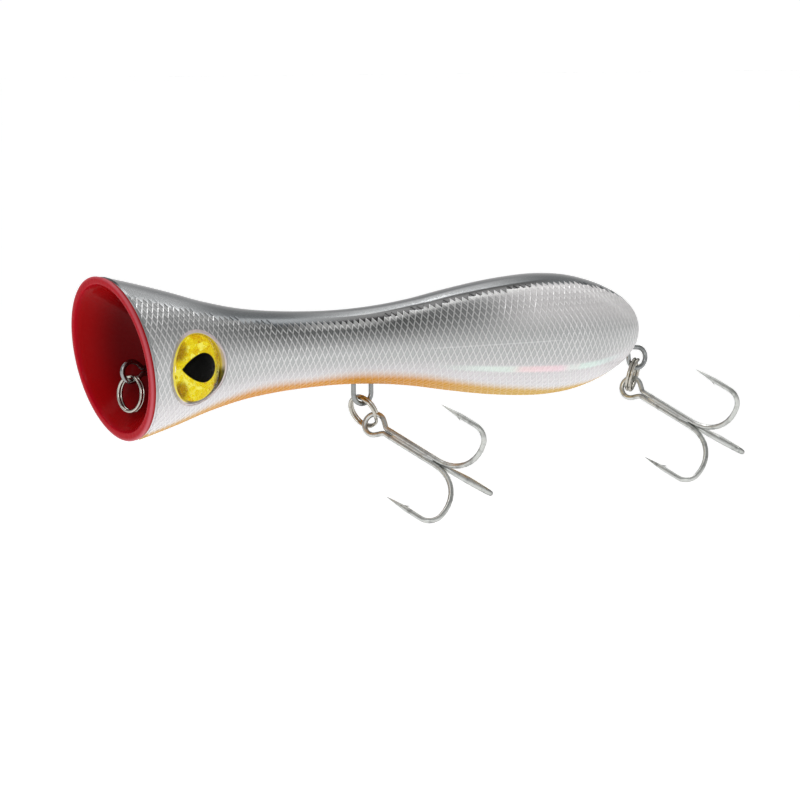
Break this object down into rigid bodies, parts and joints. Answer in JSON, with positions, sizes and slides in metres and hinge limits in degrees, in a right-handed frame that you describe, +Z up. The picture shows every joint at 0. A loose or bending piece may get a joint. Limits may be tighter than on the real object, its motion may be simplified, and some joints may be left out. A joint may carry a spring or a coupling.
{
  "type": "topwater popper lure",
  "caption": "Hollow popper lure: two shells on a through wire, red cupped face, domed eyes, split rings, swinging treble hooks, tail ballast and rattles.",
  "frame": {"origin": "middle of the line tie, the wire eye in the mouth", "axes": "+X to the tail along the body, +Z up through the back, -Y the fish's left side"},
  "size_m": [0.2334, 0.0703, 0.0809],
  "materials": {
    "painted_shell": "silver and pearl foil paint, dark back, orange belly, gloss clear coat",
    "red_cup": "gloss red",
    "wire_steel": "bright drawn stainless wire",
    "eye_foil": "gold holographic foil with a black pupil",
    "clear_dome": "clear cast resin",
    "ring_steel": "nickel plated",
    "hook_steel": "tinned",
    "braze": "tinned braze",
    "ballast": "plain",
    "ball_steel": "polished"
  },
  "bodies": {
    "lure_body": {"body_shell_left": "painted_shell", "body_shell_right": "painted_shell", "mouth_cup": "red_cup", "through_wire": "wire_steel", "eye_foil_left": "eye_foil", "eye_foil_right": "eye_foil", "eye_dome_left": "clear_dome", "eye_dome_right": "clear_dome", "tail_weight": "ballast"},
    "nose_ring": {"nose_split_ring": "ring_steel"},
    "belly_ring": {"belly_split_ring": "ring_steel"},
    "tail_ring": {"tail_split_ring": "ring_steel"},
    "belly_treble": {"belly_double_hook": "hook_steel", "belly_single_hook": "hook_steel", "belly_hook_braze": "braze"},
    "tail_treble": {"tail_double_hook": "hook_steel", "tail_single_hook": "hook_steel", "tail_hook_braze": "braze"},
    "ball_front": {"rattle_ball_front": "ball_steel"},
    "ball_middle": {"rattle_ball_middle": "ball_steel"},
    "ball_rear": {"rattle_ball_rear": "ball_steel"}
  },
  "joints": [
    {"name": "nose_ring_swing", "type": "hinge", "parent": "lure_body", "child": "nose_ring", "pos_m": [0, 0, 0], "axis": [0, 1, 0], "range_deg": [-4, 100]},
    {"name": "belly_ring_swing", "type": "hinge", "parent": "lure_body", "child": "belly_ring", "pos_m": [0.08395, 0, -0.01245], "axis": [0, 1, 0], "range_deg": [-32, 60]},
    {"name": "belly_treble_swing", "type": "hinge", "parent": "belly_ring", "child": "belly_treble", "pos_m": [0.08528, 0.0014, -0.01855], "axis": [-0.8908, -0.2057, -0.4051], "range_deg": [-100, 45]},
    {"name": "tail_ring_swing", "type": "hinge", "parent": "lure_body", "child": "tail_ring", "pos_m": [0.1956, 0, -0.0075], "axis": [0, 1, 0], "range_deg": [-75, 25]},
    {"name": "tail_treble_swing", "type": "hinge", "parent": "tail_ring", "child": "tail_treble", "pos_m": [0.19426, 0.00048, -0.01332], "axis": [0.6318, -0.7423, -0.2233], "range_deg": [-40, 95]},
    {"name": "ball_front_slide", "type": "slide", "parent": "lure_body", "child": "ball_front", "axis": [1, 0, 0], "range_m": [-0.002, 0.002]},
    {"name": "ball_middle_slide", "type": "slide", "parent": "lure_body", "child": "ball_middle", "axis": [1, 0, 0], "range_m": [-0.002, 0.002]},
    {"name": "ball_rear_slide", "type": "slide", "parent": "lure_body", "child": "ball_rear", "axis": [1, 0, 0], "range_m": [-0.002, 0.002]}
  ]
}
